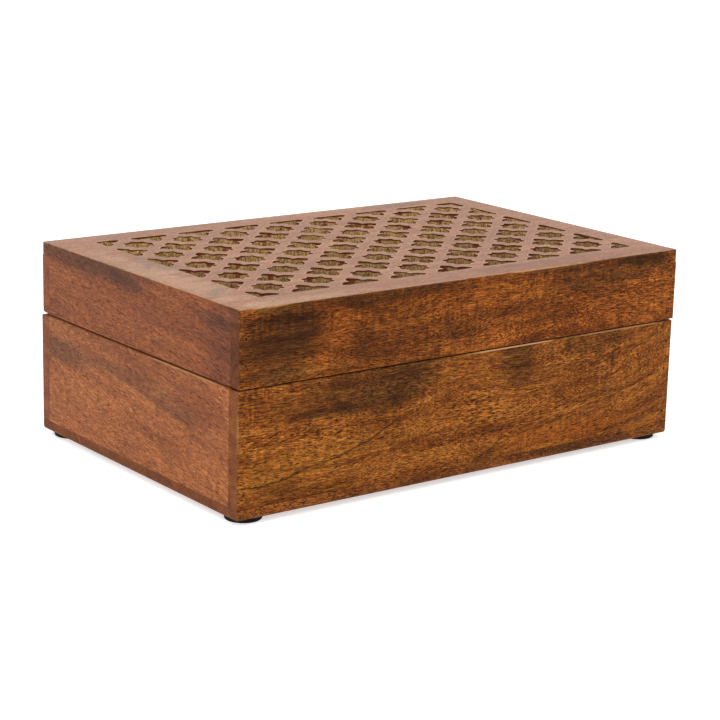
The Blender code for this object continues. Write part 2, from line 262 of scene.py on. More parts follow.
@dataclass(frozen=True)
class GrowthLine:
    """A thin dark growth ring cut at a slant, as a parabola over the length of a board.

    Attributes:
        run: Where it begins and ends, in mm along the grain.
        height: Its height in mm where it begins.
        slope: Its rise per mm where it begins.
        curve: The rise it gains per mm squared.
        width: Half its width in mm.
        strength: Its share where it is darkest.
    """

    run: tuple[float, float]
    height: float
    slope: float
    curve: float = 0.0
    width: float = 0.9
    strength: float = 0.85

    def share(self, tree: bpy.types.NodeTree, along: Any, across: Any, haze: Any) -> bpy.types.Node:
        """Work out how much of the line shows at each point.

        Args:
            tree: The node tree.
            along: Socket with mm along the grain.
            across: Socket with mm across the grain.
            haze: Noise that makes the line waver.

        Returns:
            The node that gives the share.
        """
        first, last = self.run
        past = add(tree, MATH, along, first, operation="SUBTRACT")
        steeper = add(tree, MATH, past, self.curve, operation="MULTIPLY")
        steeper = add(tree, MATH, steeper, self.slope, operation="ADD")
        rise = add(tree, MATH, past, steeper, operation="MULTIPLY")
        off = add(tree, MATH, across, self.height, operation="SUBTRACT")
        off = add(tree, MATH, off, rise, operation="SUBTRACT")
        waver = add(tree, RANGE, haze, 0.3, 0.7, -1.6, 1.6)
        off = add(tree, MATH, off, waver, operation="ADD")
        off = add(tree, MATH, off, 0.0, operation="ABSOLUTE")
        near = add(tree, RANGE, off, self.width, self.width * 0.3, 0.0, self.strength,
                   interpolation_type="SMOOTHSTEP")
        begins = add(tree, RANGE, along, first - 3, first + 12, 0.0, 1.0)
        ends = add(tree, RANGE, along, last, last - 25, 0.0, 1.0)
        within = add(tree, MATH, begins, ends, operation="MULTIPLY")
        return add(tree, MATH, near, within, operation="MULTIPLY")


@dataclass(frozen=True)
class MangoWood:
    """Mango wood, planed, stained and rubbed with wax.

    The pores are short open vessels cut lengthwise, so they show as dark dashes on the face and as
    specks on the end grain. The figure is a soft ribbon across the grain, with smoky heartwood. Real
    vessels are about 0.2 mm wide and the fibres far finer: both are drawn coarser, so that they show.

    Attributes:
        name: The material's name.
        grain: The way the grain runs.
        slope: The grain's slope in degrees.
        seed: Which stretch of the pattern the board is cut from.
        dark, mid, light: Hex colours of the figure.
        smoke, wear_and_highlight_tone, pore, end_tone: Hex colours of the haze, of arrises paled by wear and
        by painted highlights, of pores and of end grain.
        patches: Patches of other tones.
        wear_and_highlights: Stretches of arris painted pale as highlights: where light catches the rounded
            edge, and by the seam to lift its shade.
        lines: Growth lines.
        bend_from, bend_rise: Where the grain begins to climb, and by how many mm over BEND mm.
        swing: How far the grain swings, in mm.
        pore_length, pore_width, pore_share: Size of the pores in mm, and their strength.
        fibre_length, fibre_width, fibre_share: Size of the fibres in mm, and their strength.
        band_share: Strength of the broad bands.
        ribbon, ribbon_width: Strength of the ribbon figure, and its width in mm.
        smoke_share: Strength of the haze.
        roughness, specular: The waxed face's gloss.
        wear: How far the arrises are rubbed back all round.
    """

    name: str
    grain: Grain = Grain.ALONG_X
    slope: float = 0.0
    seed: float = 0.0
    dark: str = "56290a"
    mid: str = "8e4d18"
    light: str = "c47c30"
    smoke: str = "4a2609"
    wear_and_highlight_tone: str = "c99b68"
    pore: str = "2a1407"
    patches: tuple[Patch, ...] = ()
    wear_and_highlights: tuple[Patch, ...] = ()
    lines: tuple[GrowthLine, ...] = ()
    bend_from: float = 0.0
    bend_rise: float = 0.0
    swing: float = 5.5
    pore_length: float = 4.2
    pore_width: float = 0.32
    pore_share: float = 0.9
    fibre_length: float = 8.0
    fibre_width: float = 0.5
    fibre_share: float = 1.7
    band_share: float = 0.9
    ribbon: float = 0.34
    ribbon_width: float = 2.2
    smoke_share: float = 0.3
    roughness: float = 0.52
    specular: float = 0.06
    end_tone: str = "6a3e2e"
    wear: float = 0.12

    def stretched(self, tree: bpy.types.NodeTree, coords: Any, length: float, width: float,
                  detail: float = 2.0, twist: float = 0.0, rough: float = 0.55) -> bpy.types.Node:
        """Noise drawn out along the grain.

        Args:
            tree: The node tree.
            coords: Grain coordinates in mm.
            length: Feature length along the grain, in mm.
            width: Feature width across it, in mm.
            detail: Octaves of finer noise.
            twist: Distortion of the noise.
            rough: Share of the finer octaves.

        Returns:
            The noise.
        """
        scaled = add(tree, VECTOR, coords, (1 / length, 1 / width, 1 / width), operation="MULTIPLY")
        return add(tree, NOISE, named={"Vector": scaled, "Scale": 1.0, "Detail": detail,
                                       "Roughness": rough, "Distortion": twist})

    def flow(self, tree: bpy.types.NodeTree, mm: Any, along: Any) -> tuple[bpy.types.Node, bpy.types.Node]:
        """Lay out the coordinates that the grain follows.

        The grain swings gently, and on some boards it climbs towards one end.

        Args:
            tree: The node tree.
            mm: Place in mm, turned so that the grain runs along X.
            along: Socket with mm along the grain.

        Returns:
            The straight coordinates, and the ones that swing and climb.
        """
        past = add(tree, MATH, along, self.bend_from, operation="SUBTRACT")
        past = add(tree, MATH, past, 0.0, operation="MAXIMUM")
        past = add(tree, MATH, past, 1 / BEND, operation="MULTIPLY")
        past = add(tree, MATH, past, past, operation="MULTIPLY")
        climb = add(tree, MATH, past, -self.bend_rise, operation="MULTIPLY")
        sloped = (0.0, math.radians(self.slope), 0.0)
        laid = add(tree, "ShaderNodeMapping", named={"Vector": mm, "Rotation": sloped})
        place = (self.seed * 131.0, self.seed * 57.0, self.seed * 83.0)
        straight = add(tree, VECTOR, laid, place, operation="ADD")
        swing = self.stretched(tree, straight, 75.0, 34.0, 1.0)
        swing = add(tree, RANGE, swing, 0.25, 0.75, -self.swing, self.swing)
        rise = add(tree, MATH, climb, swing, operation="ADD")
        shift = add(tree, "ShaderNodeCombineXYZ", named={"Y": swing, "Z": rise})
        return straight, add(tree, VECTOR, straight, shift, operation="ADD")

    def figure(self, tree: bpy.types.NodeTree, flow: Any, fibre: Any) -> bpy.types.Node:
        """Colour the wood by its bands, its fibres and its ribbon.

        Args:
            tree: The node tree.
            flow: Coordinates that the grain follows.
            fibre: The fibres' noise.

        Returns:
            The node that gives the colour.
        """
        band = self.stretched(tree, flow, 120.0, 6.0, 3.0)
        tones = []
        for source, share in ((fibre, self.fibre_share), (band, self.band_share)):
            level = add(tree, MATH, source, 0.5, operation="SUBTRACT")
            tones.append(add(tree, MATH, level, share, operation="MULTIPLY"))
        tone = add(tree, MATH, *tones, operation="ADD")
        tone = add(tree, RANGE, tone, -0.3, 0.3, 0.0, 1.0)
        ramp = add(tree, "ShaderNodeValToRGB", tone)
        ramp.color_ramp.elements[0].color = linear(self.dark)
        ramp.color_ramp.elements[1].color = linear(self.light)
        middle = ramp.color_ramp.elements.new(0.5)
        middle.color = linear(self.mid)
        # The ribbon comes and goes over the board.
        reach = self.stretched(tree, flow, 60.0, 25.0, 1.0)
        swell = add(tree, RANGE, reach, 0.42, 0.62, 0.1, 1.0)
        glint = self.stretched(tree, flow, self.ribbon_width, 16.0, 2.0)
        glint = add(tree, RANGE, glint, 0.3, 0.7, -self.ribbon, self.ribbon)
        glint = add(tree, MATH, glint, swell, operation="MULTIPLY")
        glint = add(tree, MATH, glint, 1.0, operation="ADD")
        return add(tree, VECTOR, ramp, named={"Scale": glint}, operation="SCALE")

    def pores(self, tree: bpy.types.NodeTree, flow: Any) -> bpy.types.Node:
        """Draw the open vessels, with finer hairs between them.

        Args:
            tree: The node tree.
            flow: Coordinates that the grain follows.

        Returns:
            The node that gives the pores' share.
        """
        vessels = self.stretched(tree, flow, self.pore_length, self.pore_width, 1.0, 0.2)
        hairs = self.stretched(tree, flow, self.pore_length * 0.5, self.pore_width * 0.75, 0.0)
        dash = add(tree, RANGE, vessels, 0.54, 0.6, 0.0, self.pore_share)
        hair = add(tree, RANGE, hairs, 0.6, 0.66, 0.0, self.pore_share * 0.8)
        return add(tree, MATH, dash, hair, operation="MAXIMUM")

    def arris_share(self, tree: bpy.types.NodeTree, face: bpy.types.Node) -> bpy.types.Node:
        """Find the eased edges, where no axis is square to the surface.

        Args:
            tree: The node tree.
            face: The size of the normal along each axis.

        Returns:
            The node that gives 1 on an arris and 0 on a face.
        """
        largest = add(tree, MATH, face.outputs["X"], face.outputs["Y"], operation="MAXIMUM")
        largest = add(tree, MATH, largest, face.outputs["Z"], operation="MAXIMUM")
        return add(tree, RANGE, largest, 0.999, 0.96, 0.0, 1.0)

    def build(self) -> bpy.types.Material:
        """Build the shader.

        Returns:
            The material.
        """
        material, tree, shader = blank_material(self.name)
        place = add(tree, "ShaderNodeTexCoord")
        mm = add(tree, "ShaderNodeMapping", named={"Vector": place.outputs["Object"], "Scale": IN_MM,
                                                   "Rotation": self.grain.turn()})
        split = add(tree, "ShaderNodeSeparateXYZ", mm)
        along = split.outputs["X"]
        across = split.outputs["Y" if self.grain is Grain.FLAT else "Z"]
        straight, flow = self.flow(tree, mm, along)
        fibre = self.stretched(tree, flow, self.fibre_length, self.fibre_width, 3.0, 0.0, 0.75)
        haze = self.stretched(tree, flow, 30.0, 12.0, 4.0, 0.5)
        spots = (tree, along, across, haze)

        coats = [(patch.share(*spots), patch.tone, patch.blend) for patch in self.patches]
        smoky = add(tree, RANGE, haze, 0.5, 0.72, 0.0, self.smoke_share)
        coats.append((smoky, self.smoke, Blend.TINT))
        coats += [(line.share(*spots), self.pore, Blend.TINT) for line in self.lines]
        dash = self.pores(tree, flow)
        coats.append((dash, self.pore, Blend.TINT))

        # End grain drinks more stain, so it is darker and its figure closes up.
        facing = add(tree, VECTOR, place.outputs["Normal"], operation="ABSOLUTE")
        face = add(tree, "ShaderNodeSeparateXYZ", facing)
        lengthwise = face.outputs["Y" if self.grain is Grain.ALONG_Y else "X"]
        coats.append((add(tree, RANGE, lengthwise, 0.6, 0.9, 0.0, 0.45), self.end_tone, Blend.TINT))

        # Arrises hold a line of stain and are paled by wear here and there; listed stretches get painted
        # highlights, and painted light that lifts the seam's shade.
        arris = self.arris_share(tree, face)
        wear_and_highlight_share = self.stretched(tree, straight, 4.0, 2.0, 3.0)
        wear_and_highlight_share = add(tree, RANGE, wear_and_highlight_share, 0.46, 0.6, 0.0, self.wear)
        # Painted highlights on the listed stretches of arris.
        for patch in self.wear_and_highlights:
            wear_and_highlight_share = add(tree, MATH, wear_and_highlight_share, patch.share(*spots), operation="MAXIMUM")
        coats.append((add(tree, MATH, arris, 0.2, operation="MULTIPLY"), self.pore, Blend.TINT))
        coats.append((add(tree, MATH, arris, wear_and_highlight_share, operation="MULTIPLY"), self.wear_and_highlight_tone, Blend.TINT))
        colour = glazed(tree, self.figure(tree, flow, fibre), coats)

        # The wax is dull in the pores and brighter on the fibres.
        rough = add(tree, RANGE, fibre, 0.3, 0.7, self.roughness + 0.08, self.roughness - 0.06)
        dull = add(tree, MATH, dash, 0.25, operation="MULTIPLY")
        rough = add(tree, MATH, dull, rough, operation="ADD")
        # Sanding leaves the fibres just proud and the vessels open.
        sunk = add(tree, MATH, dash, 0.9, operation="MULTIPLY")
        relief = add(tree, MATH, fibre, sunk, operation="SUBTRACT")
        bump = add(tree, "ShaderNodeBump", named={"Height": relief, "Strength": 0.5, "Distance": 0.15 * MM})
        feed(tree, shader, {"Base Color": colour, "Roughness": rough, "Normal": bump,
                            "Specular IOR Level": self.specular})
        return material


@dataclass(frozen=True)
class SawnWall:
    """The raw walls of the cut openings: undyed wood left olive by wax and dust, stained at the rim.

    The fretsaw leaves upright marks under a millimetre apart, and the stain stops just below the face.

    Attributes:
        name: The material's name.
        pale, deep: Hex colours of the raw wood.
        streak, fleck: Hex colours of the saw's marks and of torn fibres.
        stain, red: Hex colours of the stain at the rim and of scorched wood.
        top: Height of the panel's face, in metres.
        stain_depth: How far the stain reaches down, in mm.
    """

    name: str = "fret_sawn_mango_wood"
    pale: str = "e4c084"
    deep: str = "8c6836"
    streak: str = "5a351a"
    fleck: str = "f6e6c4"
    stain: str = "5a2410"
    red: str = "7a2c12"
    top: float = 0.1134
    stain_depth: float = 0.8

    def build(self) -> bpy.types.Material:
        """Build the shader.

        Returns:
            The material.
        """
        material, tree, shader = blank_material(self.name)
        place = add(tree, "ShaderNodeTexCoord")
        mm = add(tree, VECTOR, place.outputs["Object"], IN_MM, operation="MULTIPLY")
        parts = add(tree, "ShaderNodeSeparateXYZ", mm)
        upright = add(tree, VECTOR, mm, (1.3, 1.3, 0.3), operation="MULTIPLY")
        marks = add(tree, NOISE, named={"Vector": upright, "Scale": 1.0, "Detail": 3.0, "Roughness": 0.7})
        dust = add(tree, NOISE, named={"Vector": mm, "Scale": 0.9, "Detail": 3.0})
        broad = add(tree, NOISE, named={"Vector": mm, "Scale": 0.12, "Detail": 1.0})
        torn = add(tree, NOISE, named={"Vector": mm, "Scale": 1.7, "Detail": 1.0})
        tone = add(tree, MATH, marks, dust, operation="ADD")
        # More stain ran down the openings near the front.
        ran = add(tree, MATH, broad, 130.0, operation="MULTIPLY")
        ran = add(tree, MATH, parts.outputs["Y"], ran, operation="ADD")
        # The edge of the stain at the rim is ragged.
        ragged = add(tree, MATH, marks, 1.8, operation="MULTIPLY")
        wander = add(tree, MATH, broad, 2.2, operation="MULTIPLY")
        ragged = add(tree, MATH, ragged, wander, operation="ADD")
        ragged = add(tree, MATH, ragged, parts.outputs["Z"], operation="ADD")
        edge = self.top / MM + 2.0 - self.stain_depth
        shares = ((tone, (0.84, 1.22, 0.0, 1.0), self.pale),
                  (marks, (0.46, 0.34, 0.0, 0.9), self.streak),
                  (torn, (0.66, 0.74, 0.0, 0.8), self.fleck),
                  (broad, (0.615, 0.65, 0.0, 0.8), self.red),
                  (ran, (110.0, 0.0, 0.0, 0.4), self.streak),
                  (ragged, (edge - 0.15, edge + 0.15, 0.0, 1.0), self.stain))
        coats = [(add(tree, RANGE, source, *steps), tone, Blend.TINT) for source, steps, tone in shares]
        bump = add(tree, "ShaderNodeBump", named={"Height": marks, "Strength": 0.6, "Distance": 0.3 * MM})
        feed(tree, shader, {"Base Color": glazed(tree, linear(self.deep), coats), "Normal": bump,
                            "Roughness": 0.85, "Specular IOR Level": 0.2})
        return material


@dataclass(frozen=True)
class Metal:
    """Brass or steel, rolled or drawn, with a little tarnish in patches.

    Rolling leaves fine lines, drawn here about 0.17 mm apart, coarser than real, so that they show.

    Attributes:
        name: The material's name.
        clean, tarnished: Hex colours of the metal.
        roughness: Its roughness where it is half tarnished.
        patch: Size of the tarnish, in mm.
    """

    name: str
    clean: str
    tarnished: str
    roughness: float
    patch: float = 2.5

    def build(self) -> bpy.types.Material:
        """Build the shader.

        Returns:
            The material.
        """
        material, tree, shader = blank_material(self.name)
        place = add(tree, "ShaderNodeTexCoord").outputs["Object"]
        patches = add(tree, NOISE, named={"Vector": place, "Scale": 1 / (self.patch * MM), "Detail": 4.0,
                                          "Roughness": 0.6})
        spread = add(tree, RANGE, patches, 0.4, 0.65)
        colour = glazed(tree, linear(self.clean), [(spread, self.tarnished, Blend.TINT)])
        rough = add(tree, RANGE, patches, 0.3, 0.7, self.roughness - 0.08, self.roughness + 0.15)
        drawn = add(tree, VECTOR, place, (300.0, 6000.0, 6000.0), operation="MULTIPLY")
        lines = add(tree, NOISE, named={"Vector": drawn, "Scale": 1.0, "Detail": 2.0})
        bump = add(tree, "ShaderNodeBump", named={"Height": lines, "Strength": 0.25, "Distance": 0.03 * MM})
        feed(tree, shader, {"Base Color": colour, "Roughness": rough, "Normal": bump, "Metallic": 1.0})
        return material


@dataclass(frozen=True)
class MattFilm:
    """A dull film with a fine texture, for moulded rubber, wax filler and brushed ochre paint.

    Attributes:
        name: The material's name.
        colour, patchy: Hex colours of the film and of its patches.
        roughness: Its roughness.
        texture: Size of the texture in mm, drawn coarser than real so that it shows.
        depth: Depth of the texture in mm.
        brushed: How many times longer the texture is along X.
        specular: Its gloss.
    """

    name: str
    colour: str
    patchy: str
    roughness: float
    texture: float
    depth: float
    brushed: float = 1.0
    specular: float = 0.4

    def build(self) -> bpy.types.Material:
        """Build the shader.

        Returns:
            The material.
        """
        material, tree, shader = blank_material(self.name)
        place = add(tree, "ShaderNodeTexCoord").outputs["Object"]
        drawn = add(tree, VECTOR, place, (1 / self.brushed, 1.0, 1.0), operation="MULTIPLY")
        fine = add(tree, NOISE, named={"Vector": drawn, "Scale": 1000 / self.texture, "Detail": 4.0,
                                       "Roughness": 0.6})
        broad = add(tree, NOISE, named={"Vector": drawn, "Scale": 100 / self.texture, "Detail": 3.0})
        spread = add(tree, RANGE, broad, 0.35, 0.65)
        colour = glazed(tree, linear(self.colour), [(spread, self.patchy, Blend.TINT)])
        rough = add(tree, RANGE, fine, 0.3, 0.7, self.roughness - 0.06, self.roughness + 0.06)
        bump = add(tree, "ShaderNodeBump", named={"Height": fine, "Strength": 0.4,
                                                  "Distance": self.depth * MM})
        feed(tree, shader, {"Base Color": colour, "Roughness": rough, "Normal": bump,
                            "Specular IOR Level": self.specular})
        return material


# ------------------------------------------------------------------ boards

@dataclass
class Boards:
    """The side boards and floor, drawn up tight as after gluing.

    Attributes:
        gap: Clearance that the frame leaves at each joint.
        left: What still shows of it once the joint is glued and sanded flush.
        lift: How far the seam's edges come towards each other.
        arris: Depth of the eased edge that moves with them.
        swing_room: What stays as it is beside the back face, so that the lid can swing.
    """

    gap: float = 0.3 * MM
    left: float = 0.08 * MM
    lift: float = 0.35 * MM
    arris: float = 0.75 * MM
    swing_room: float = 4.0 * MM

    def narrow_seam(self, mesh: bpy.types.Mesh, node: str, side: int) -> None:
        """Bring a board's eased edge nearer to the other half of the box.

        Args:
            mesh: The board's own copy of its mesh.
            node: The board's node.
            side: +1 if the seam is above the board, -1 if it is below.
        """
        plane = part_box(node)[1 if side > 0 else 0][2]
        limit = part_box("base_back_board")[1][1] - self.swing_room
        for vertex in mesh.vertices:
            if vertex.co.y < limit and side * (vertex.co.z - plane) > -self.arris:
                vertex.co.z += side * self.lift

    def drawn_up(self, node: str, moves: Iterable[tuple[int, float, float]], body: str,
                 material: bpy.types.Material, seam_side: int = 0) -> bpy.types.Object:
        """Copy a board and close its joints.

        Args:
            node: The board's node.
            moves: Axis, plane and new plane of each joint face.
            body: The body it rides on.
            material: Its finish.
            seam_side: +1 or -1 where its edge by the seam is brought closer, 0 where it has none.

        Returns:
            The new piece, which stands for the node.
        """
        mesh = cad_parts[node].data.copy()
        for axis, plane, new_plane in moves:
            for vertex in mesh.vertices:
                if abs(vertex.co[axis] - plane) < 0.01 * MM:
                    vertex.co[axis] = new_plane
        if seam_side:
            self.narrow_seam(mesh, node, seam_side)
        bm = bmesh.new()
        bm.from_mesh(mesh)
        bmesh.ops.remove_doubles(bm, verts=bm.verts, dist=0.005 * MM)
        bmesh.ops.dissolve_limit(bm, angle_limit=math.radians(0.5), verts=bm.verts, edges=bm.edges)
        bm.to_mesh(mesh)
        bm.free()
        mesh.shade_flat()
        piece = new_piece(f"{node}_wood", mesh, [material])
        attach(piece, body)
        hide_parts(node)
        return piece

    def closing(self, node: str, axis: int, towards: int) -> tuple[int, float, float]:
        """The move that closes one joint of a board.

        Args:
            node: The board's node.
            axis: Axis across the joint.
            towards: +1 if the joint is at the high side, -1 at the low side.

        Returns:
            The axis, the face's plane and its new plane.
        """
        low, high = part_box(node)
        plane = high[axis] if towards > 0 else low[axis]
        return axis, plane, plane + towards * (self.gap - self.left)

    def build(self, finishes: dict[str, bpy.types.Material]) -> None:
        """Draw up every side board and dress the floor.

        Args:
            finishes: Material for each board, by node name.
        """
        for where, towards in (("base", -1), ("lid", 1)):
            for part in ("front_board", "back_board", "left_end", "right_end"):
                node = f"{where}_{part}"
                moves = [self.closing(node, 2, towards)]
                if part.endswith("end"):
                    moves += [self.closing(node, 1, -1), self.closing(node, 1, 1)]
                self.drawn_up(node, moves, where, finishes[node], -towards)
                LOG.info("board %s", node)
        self.drawn_up("base_floor", [], "base", finishes["base_floor"])


# ------------------------------------------------------------------ lattice

@dataclass
class LatticePanel:
    """The lid's top panel, fret-sawn through, with softened rims and sawn walls.

    The outside comes from the frame.

    Attributes:
        pitch: Distance between neighbouring stars.
        border: Plain wood round the lattice.
        overrun: How far the pattern reaches past its outer crosses' middles.
        shift: How far the pattern lies off the panel's middle.
        star_radius: Middle of a star to its points.
        half_arm: Half the width of a cross's arm.
        shoulder: Middle of a cross to where its arms begin to taper.
        ease: Rounding of the top edge.
        corner: Rounding of the corners, seen from above.
        rim: Rounding round each opening.
        wear_and_highlights: Width of the paler ring that sanding leaves round each opening.
        step: Distance between points on a saw line.
        wobble: How far the saw wanders.
        lean: How far a wall leans.
        rounding: Share by which a saw line's corners are pulled in.
        saw_seed: Seed of the saw's wander, so that every run cuts the same lines.
    """

    pitch: float = 32.3 * MM
    border: float = 17.0 * MM
    overrun: float = 1.7 * MM
    shift: tuple[float, float] = (3.4 * MM, 1.2 * MM)
    star_radius: float = 9.4 * MM
    half_arm: float = 4.1 * MM
    shoulder: float = 8.2 * MM
    ease: float = 0.7 * MM
    corner: float = 1.5 * MM
    rim: float = 0.22 * MM
    wear_and_highlights: float = 0.8 * MM
    step: float = 1.0 * MM
    wobble: float = 0.2 * MM
    lean: float = 0.05 * MM
    rounding: float = 0.4
    saw_seed: int = 1
    middle: Vector = field(init=False)
    low: Vector = field(init=False)
    high: Vector = field(init=False)

    def __post_init__(self) -> None:
        """Read the panel's outside from the frame."""
        low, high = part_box("lid_lattice_panel")
        self.low, self.high = Vector(low), Vector(high)
        self.middle = (self.low + self.high) / 2

    def star(self, centre: Vector) -> list[Vector]:
        """Outline of one eight-pointed star: two squares, one turned by an eighth.

        Args:
            centre: The star's middle.

        Returns:
            Its corners, points and valleys in turn.
        """
        half_step = math.pi / 8
        valley = self.star_radius * math.cos(2 * half_step) / math.cos(half_step)
        points = []
        for turn in range(16):
            angle = half_step * turn
            radius = valley if turn % 2 else self.star_radius
            points.append(centre + Vector((math.cos(angle), math.sin(angle))) * radius)
        return points

    def cross(self, centre: Vector) -> list[Vector]:
        """Outline of one cross with pointed arms.

        Args:
            centre: The cross's middle.

        Returns:
            Its corners, arm by arm.
        """
        arm, shoulder = self.half_arm, self.shoulder
        corners = ((arm, -arm), (shoulder, -arm), (shoulder + arm, 0), (shoulder, arm))
        one = [Vector(corner) for corner in corners]
        turns = [Matrix.Rotation(math.radians(90 * turn), 2) for turn in range(4)]
        return [centre + turned @ point for turned in turns for point in one]

    def clipped(self, outline: list[Vector], low: Vector, high: Vector) -> list[Vector]:
        """Cut an outline off at a rectangle.

        Args:
            outline: The outline's corners.
            low: The rectangle's low corner.
            high: Its high corner.

        Returns:
            What is left of the outline.
        """
        for axis, limit, sign in ((0, low.x, 1), (0, high.x, -1), (1, low.y, 1), (1, high.y, -1)):
            kept = []
            for start, end in zip(outline, outline[1:] + outline[:1]):
                start_in = sign * (start[axis] - limit) >= 0
                end_in = sign * (end[axis] - limit) >= 0
                if start_in:
                    kept.append(start)
                if start_in != end_in:
                    kept.append(start.lerp(end, (limit - start[axis]) / (end[axis] - start[axis])))
            outline = kept
        return outline

    def outlines(self) -> list[list[Vector]]:
        """Every opening's outline, in the panel's own frame.

        Returns:
            Whole stars, and crosses cut off where the border begins.
        """
        size = self.high - self.low
        columns = int((size.x - 2 * self.border - 2 * self.overrun) / self.pitch)
        rows = int((size.y - 2 * self.border - 2 * self.overrun) / self.pitch)
        corner = Vector(self.shift) - Vector((columns, rows)) * self.pitch / 2
        margin = Vector((self.overrun, self.overrun))
        high = corner + Vector((columns, rows)) * self.pitch + margin
        found = []
        for i in range(columns + 1):
            for j in range(rows + 1):
                node = corner + Vector((i, j)) * self.pitch
                found.append(self.clipped(self.cross(node), corner - margin, high))
                if i < columns and j < rows:
                    found.append(self.star(node + Vector((self.pitch, self.pitch)) / 2))
        return found

    def sawn(self, outline: list[Vector]) -> list[Vector]:
        """Divide an outline finely and let the saw wander off it a little.

        Args:
            outline: The outline's corners.

        Returns:
            Points about one step apart.
        """
        points = []
        for start, end in zip(outline, outline[1:] + outline[:1]):
            count = max(2, round((end - start).length / self.step))
            points += [start.lerp(end, part / count) for part in range(count)]
        # The blade cannot turn a dead sharp corner.
        points = [point.lerp((before + after) / 2, self.rounding)
                  for before, point, after in zip(points[-1:] + points[:-1], points, points[1:] + points[:1])]
        # The hand drifts slowly, and the blade shakes a little at each stroke.
        wandered = []
        for point in points:
            at = Vector((point.x, point.y, 0.0)) / MM
            drift = noise.noise_vector(at * 0.16)
            shake = noise.noise_vector(at * 1.1 + Vector((7, 3, 1)))
            off = (drift * 1.6 + shake * 0.6) * self.wobble
            wandered.append(point + off.xy)
        return wandered

    def inset(self, loop: list[Vector], distance: float, reach: int = 1) -> list[Vector]:
        """Move a loop's points sideways, to the left of its run if positive.

        Args:
            loop: A closed loop.
            distance: How far to move it.
            reach: How many points to each side set a point's run, so that wide moves do not cross.

        Returns:
            The moved loop.
        """
        moved = []
        for before, point, after in zip(loop[-reach:] + loop[:-reach], loop, loop[reach:] + loop[:reach]):
            run = (after - before).normalized()
            moved.append(point + Vector((-run.y, run.x)) * distance)
        return moved

    def outside(self, inset: float) -> list[Vector]:
        """The panel's outline with rounded corners, moved in from its edge.

        Args:
            inset: Distance in from the side.

        Returns:
            A closed loop, counter-clockwise.
        """
        half = (self.high - self.low).xy / 2
        steps = 4
        points = []
        for turn, (sx, sy) in enumerate(((1, 1), (-1, 1), (-1, -1), (1, -1))):
            centre = Vector((sx * (half.x - self.corner), sy * (half.y - self.corner)))
            for step in range(steps + 1):
                angle = math.radians(90 * turn + 90 * step / steps)
                points.append(centre + Vector((math.cos(angle), math.sin(angle))) * (self.corner - inset))
        return points

    def divided(self, loop: list[Vector], spacing: float) -> list[Vector]:
        """Divide a loop's long sides evenly.

        Args:
            loop: A closed loop.
            spacing: Distance between points, about.

        Returns:
            The loop with the new points.
        """
        points = []
        for start, end in zip(loop, loop[1:] + loop[:1]):
            count = max(1, round((end - start).length / spacing))
            points += [start.lerp(end, part / count) for part in range(count)]
        return points

    def stack(self, bm: bmesh.types.BMesh, rings: list[tuple[list[Vector], float]], slot_of: list[int]
              ) -> tuple[list[bmesh.types.BMVert], list[bmesh.types.BMVert]]:
        """Join loops at rising heights with faces.

        Args:
            bm: The mesh being made.
            rings: Loops with their heights, all of one length.
            slot_of: The material slot of each band between two loops.

        Returns:
            The first and the last ring of vertices.
        """
        made = [[bm.verts.new((p.x, p.y, z)) for p in loop] for loop, z in rings]
        for lower, upper, slot in zip(made, made[1:], slot_of):
            count = len(lower)
            for at in range(count):
                after = (at + 1) % count
                face = bm.faces.new((lower[at], lower[after], upper[after], upper[at]))
                face.material_index = slot
                face.smooth = True
        return made[0], made[-1]

    def within(self, point: Vector, outline: list[Vector]) -> bool:
        """Say whether a point lies inside an outline.

        Args:
            point: The point.
            outline: The outline's corners.

        Returns:
            True if it does.
        """
        inside = False
        for start, end in zip(outline, outline[1:] + outline[:1]):
            if (start.y > point.y) != (end.y > point.y):
                inside ^= point.x < start.x + (point.y - start.y) * (end.x - start.x) / (end.y - start.y)
        return inside

    def fill(self, bm: bmesh.types.BMesh, loops: list[list[bmesh.types.BMVert]]) -> None:
        """Fill the flat face between a panel's outline and its openings.

        Args:
            bm: The mesh being made.
            loops: Rings of vertices that bound the face, the outline's first.
        """
        corners = [vertex for loop in loops for vertex in loop]
        flat = [vertex.co.xy / MM for vertex in corners]
        edges, owners, outlines = [], [], []
        for number, loop in enumerate(loops):
            first = len(edges)
            edges += [(first + at, first + (at + 1) % len(loop)) for at in range(len(loop))]
            owners += [number] * len(loop)
            outlines.append(flat[first:first + len(loop)])
        inside_edges, nearest = 1, 1e-6
        _, _, triangles, sources, _, _ = geometry.delaunay_2d_cdt(flat, edges, [], inside_edges, nearest)
        for triangle in triangles:
            three = [sources[at][0] for at in triangle]
            owner = owners[three[0]]
            alone = owner > 0 and all(owners[at] == owner for at in three)
            if alone and self.within((flat[three[0]] + flat[three[1]] + flat[three[2]]) / 3, outlines[owner]):
                continue
            face = bm.faces.new([corners[at] for at in three])
            face.material_index = PanelSide.FACE
            face.smooth = False

    def rounded_sides(self, bm: bmesh.types.BMesh, half: float) -> tuple[list[bmesh.types.BMVert],
                                                                         list[bmesh.types.BMVert]]:
        """Make the panel's sides, with the top edge rounded.

        Args:
            bm: The mesh being made.
            half: Half the panel's thickness.

        Returns:
            The bottom ring and the top ring.
        """
        arc = [math.radians(angle) for angle in (0, 22.5, 45, 67.5, 90)]
        profile = [(0.0, -half)]
        profile += [(self.ease * (1 - math.cos(a)), half - self.ease * (1 - math.sin(a))) for a in arc]
        rings = [(self.divided(self.outside(inset), 4 * MM), height) for inset, height in profile]
        return self.stack(bm, rings, [PanelSide.FACE] * len(arc))

